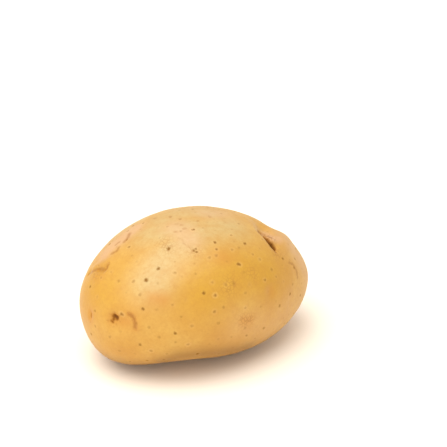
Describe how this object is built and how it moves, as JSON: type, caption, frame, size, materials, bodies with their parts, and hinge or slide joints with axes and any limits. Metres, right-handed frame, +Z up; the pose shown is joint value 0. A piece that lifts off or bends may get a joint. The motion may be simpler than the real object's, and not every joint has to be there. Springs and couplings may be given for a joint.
{
  "type": "potato",
  "caption": "Whole yellow-skinned potato, an irregular oval tuber fuller at one end, lying on a small flat spot.",
  "frame": {"origin": "middle of the footprint, at the level of the small flat spot that the tuber rests on", "axes": "+X along the tuber from its fuller end to its narrower end, +Y across it, +Z up"},
  "size_m": [0.094, 0.0674, 0.0549],
  "materials": {
    "potato_skin": "thin smooth natural skin, golden yellow with pale scuffs and small brown lenticels, soft satin"
  },
  "bodies": {
    "root": {"potato": "potato_skin"}
  },
  "joints": []
}
